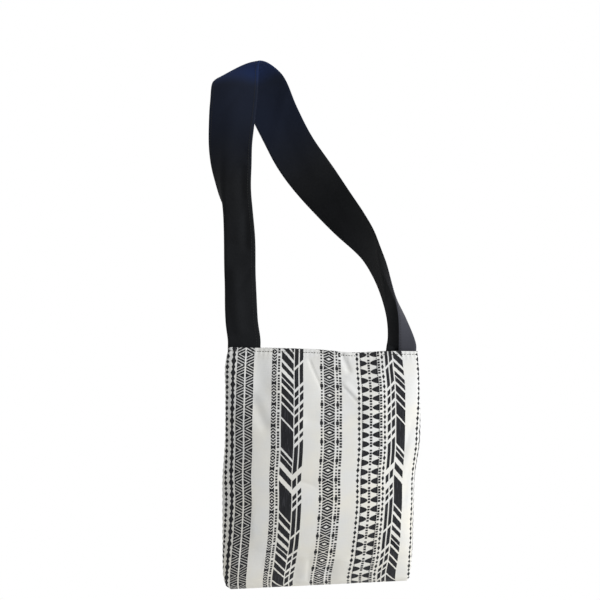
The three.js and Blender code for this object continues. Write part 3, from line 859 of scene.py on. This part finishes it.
def makeStrap():
    stations = mouthStations(-1) + strap["stations"] + mouthStations(1)[::-1]
    places = np.array([station[:3] for station in stations], float)
    begin, finish = curveSlopes(places)
    travels = unit(np.concatenate([begin, finish[-1:]]))
    sections = np.array([strapSection(s, t) for s, t in zip(stations, travels)])
    middle = loft(sections, strap["steps"])
    arms = loft(np.array([[[s[7], 0, 0]] for s in stations], float), strap["steps"])[:, 0, 0]
    along = np.cumsum(np.linalg.norm(np.diff(middle.mean(1), axis=0, prepend=middle[:1].mean(1)), axis=-1))
    across = np.array([acrossPlaces(arm) for arm in arms])
    flat = np.stack([across, np.repeat(along[:, None], across.shape[1], 1)], -1)
    normals = gridNormals(middle)
    free = smoothStep(along, *strap["wavesFrom"]) * smoothStep(along[-1] - along, *strap["wavesFrom"])
    waves = []
    for (height, shortest, longest), seed in zip((strap["ripple"], strap["sway"]), strap["waveSeeds"]):
        waves.append(height * ripples(flat, seed, shortest, longest) * free[:, None])
    relief = waves[0] - foldPush(strap["creases"], flat[..., 0], flat[..., 1])
    middle = middle + unit(np.gradient(middle, axis=1)) * waves[1][..., None]
    middle = middle + normals * relief[..., None]
    edge = np.minimum(across, strap["width"] - across)
    depth, reach = strap["stitchGroove"]
    groove = depth * np.exp(-(((edge - strap["edgeStitch"]) / reach) ** 2))
    rollWidth, least = strap["edgeRoll"]
    roll = np.sqrt(np.clip(edge / rollWidth, least, 1))
    half = (strap["thickness"] / 2 - groove) * roll
    outer, inner = middle + normals * half[..., None], middle - normals * half[..., None]
    piece = wallPiece("shoulderStrap", outer, inner, flat, blackCotton)
    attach(piece, "root")
    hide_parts("strap")
    print("strap made,", round(along[-1]), "mm long")
    return piece, outer, flat


shoulderStrap, strapFace, strapFlat = makeStrap()

# Stitches: short threads along a line, each sunk a little into the cloth
stitch = {
    "length": 3.2,
    "gap": 1.3,
    "thread": 1.2,  # three times the real thread, so that it shows from a distance
    "facets": (6, 4),  # round a stitch and along it
    "seamClear": 4,  # points of a hem's line that are left bare at each seam
}


def stitchTree():
    tree = bpy.data.node_groups.new("stitchRow", "GeometryNodeTree")
    kinds = {"Line": "Geometry", "Pitch": "Float", "Length": "Float", "Thread": "Float", "Cotton": "Material"}
    for name, kind in kinds.items():
        tree.interface.new_socket(name, in_out="INPUT", socket_type="NodeSocket" + kind)
    tree.interface.new_socket("Stitches", in_out="OUTPUT", socket_type="NodeSocketGeometry")
    n = partial(addNode, tree)
    line, pitch, length, thread, cotton = n("NodeGroupInput")[:5]
    curve = n("GeometryNodeMeshToCurve", named={"Mesh": line})
    spots = n("GeometryNodeResampleCurve", named={"Curve": curve, "Length": pitch}, mode="LENGTH")
    around, along = stitch["facets"]
    bead = n("GeometryNodeMeshUVSphere", named={"Segments": around, "Rings": along, "Radius": 0.5})[0]
    size = n("ShaderNodeCombineXYZ", length, thread, thread)
    bead = n("GeometryNodeTransform", named={"Geometry": bead, "Scale": size})
    turn = n("FunctionNodeAlignRotationToVector", named={"Vector": n("GeometryNodeInputTangent")}, axis="X")
    row = n("GeometryNodeInstanceOnPoints", named={"Points": spots, "Instance": bead, "Rotation": turn})
    row = n("GeometryNodeRealizeInstances", row)
    row = n("GeometryNodeSetMaterial", named={"Geometry": row, "Material": cotton})
    n("NodeGroupOutput", row)
    return tree


stitchRow = stitchTree()


# Sews one piece of stitches along lines of points in millimetres.
def sewLines(name, lines, thread):
    mesh = bpy.data.meshes.new(name + "Line")
    points = np.concatenate(lines) * mm
    starts = np.cumsum([0] + [len(line) for line in lines[:-1]])
    edges = [(s + i, s + i + 1) for s, line in zip(starts, lines) for i in range(len(line) - 1)]
    mesh.from_pydata(points.tolist(), edges, [])
    row = bpy.data.objects.new(name, mesh)
    bpy.context.scene.collection.objects.link(row)
    modifier = row.modifiers.new("stitches", "NODES")
    modifier.node_group = stitchRow
    settings = {
        "Pitch": (stitch["length"] + stitch["gap"]) * mm,
        "Length": stitch["length"] * mm,
        "Thread": stitch["thread"] * mm,
        "Cotton": thread,
    }
    for socket in stitchRow.interface.items_tree:
        if socket.name in settings:
            modifier[socket.identifier] = settings[socket.name]
    plain = bpy.data.meshes.new_from_object(row.evaluated_get(bpy.context.evaluated_depsgraph_get()))
    row.modifiers.clear()
    row.data = plain
    plain.shade_smooth()
    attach(row, "root")
    return row


def strapEdgeLine(distance):
    column = int(np.argmin(np.abs(strapFlat[len(strapFlat) // 2, :, 0] - distance)))
    return strapFace[:, column]


sewn = slice(stitch["seamClear"], -stitch["seamClear"])
frontStitches = sewLines("frontHemStitches", [frontLine[sewn]], hemThreadWithGrooveShadow)
backStitches = sewLines("backHemStitches", [backLine[sewn]], hemThreadWithGrooveShadow)
edges = (strap["edgeStitch"], strap["width"] - strap["edgeStitch"])
strapStitches = sewLines("strapEdgeStitches", [strapEdgeLine(d) for d in edges], blackThread)
print("stitches sewn")

# Studio: level camera in front of the strap, pale floor, soft light mostly from the right
studio = {
    "camera": (0.1016, -2.6, -0.4),
    "lens": 90.7,  # mm
    "sensor": 36.0,  # width of the square frame, mm
    "floor": -1.62,
    "floorRadius": 2.2,
    "floorSides": 96,
    "floorColour": "#f4f3f1",
    "floorGlow": 0.08,  # keeps the floor pale away from the soft boxes
    "ambient": 0.25,
    # place, aim, size and power of the soft boxes
    "lights": [
        ((2.3, -1.25, 0.0), (0.12, -0.15, -0.65), 1.0, 52.0),
        ((-2.6, -1.0, 0.0), (0.1, -0.1, -0.5), 1.6, 12.0),
        ((0.0, -0.5, 1.8), (0.0, 0.0, -0.1), 1.0, 12.0),
        ((1.3, 2.5, 0.3), (0.12, -0.1, -0.5), 1.8, 34.0),
    ],
}


def makeStudio():
    scene = bpy.context.scene
    lens = bpy.data.cameras.new("camera")
    lens.lens = studio["lens"]
    lens.sensor_width = studio["sensor"]
    camera = bpy.data.objects.new("camera", lens)
    camera.location = studio["camera"]
    camera.rotation_euler = (math.pi / 2, 0, 0)
    scene.collection.objects.link(camera)
    scene.camera = camera
    for i, (place, aim, size, power) in enumerate(studio["lights"]):
        light = bpy.data.lights.new(f"softBox{i}", "AREA")
        light.size = size
        light.energy = power
        box = bpy.data.objects.new(light.name, light)
        box.location = place
        box.rotation_euler = (Vector(aim) - Vector(place)).to_track_quat("-Z", "Y").to_euler()
        scene.collection.objects.link(box)
    mesh = bpy.data.meshes.new("floor")
    turns = np.linspace(0, 2 * math.pi, studio["floorSides"], endpoint=False)
    radius = studio["floorRadius"]
    rim = [(radius * math.cos(a), radius * math.sin(a), studio["floor"]) for a in turns]
    mesh.from_pydata(rim, [], [range(len(rim))])
    # matte paint: an even pale ground with no shine, on which only soft shade shows
    paint = bpy.data.materials.new("mattePaint")
    paint.use_nodes = True
    paint.node_tree.nodes.clear()
    n = partial(addNode, paint.node_tree)
    pale = linear(studio["floorColour"])
    surface = n("ShaderNodeBsdfPrincipled", named={
        "Base Color": pale, "Roughness": 0.9,
        "Emission Color": pale, "Emission Strength": studio["floorGlow"],
    })
    n("ShaderNodeOutputMaterial", surface)
    mesh.materials.append(paint)
    floor = bpy.data.objects.new("floor", mesh)
    scene.collection.objects.link(floor)
    # a white backdrop behind everything, and softer light on the bag
    world = bpy.data.worlds.new("studioWorld")
    world.use_nodes = True
    world.node_tree.nodes.clear()
    n = partial(addNode, world.node_tree)
    seen = n("ShaderNodeLightPath")[0]
    strength = n("MULTIPLY_ADD", seen, 1 - studio["ambient"], studio["ambient"])
    n("ShaderNodeOutputWorld", n("ShaderNodeBackground", (1, 1, 1, 1), strength))
    scene.world = world
    scene.view_settings.view_transform = "Standard"


makeStudio()
print("studio made")
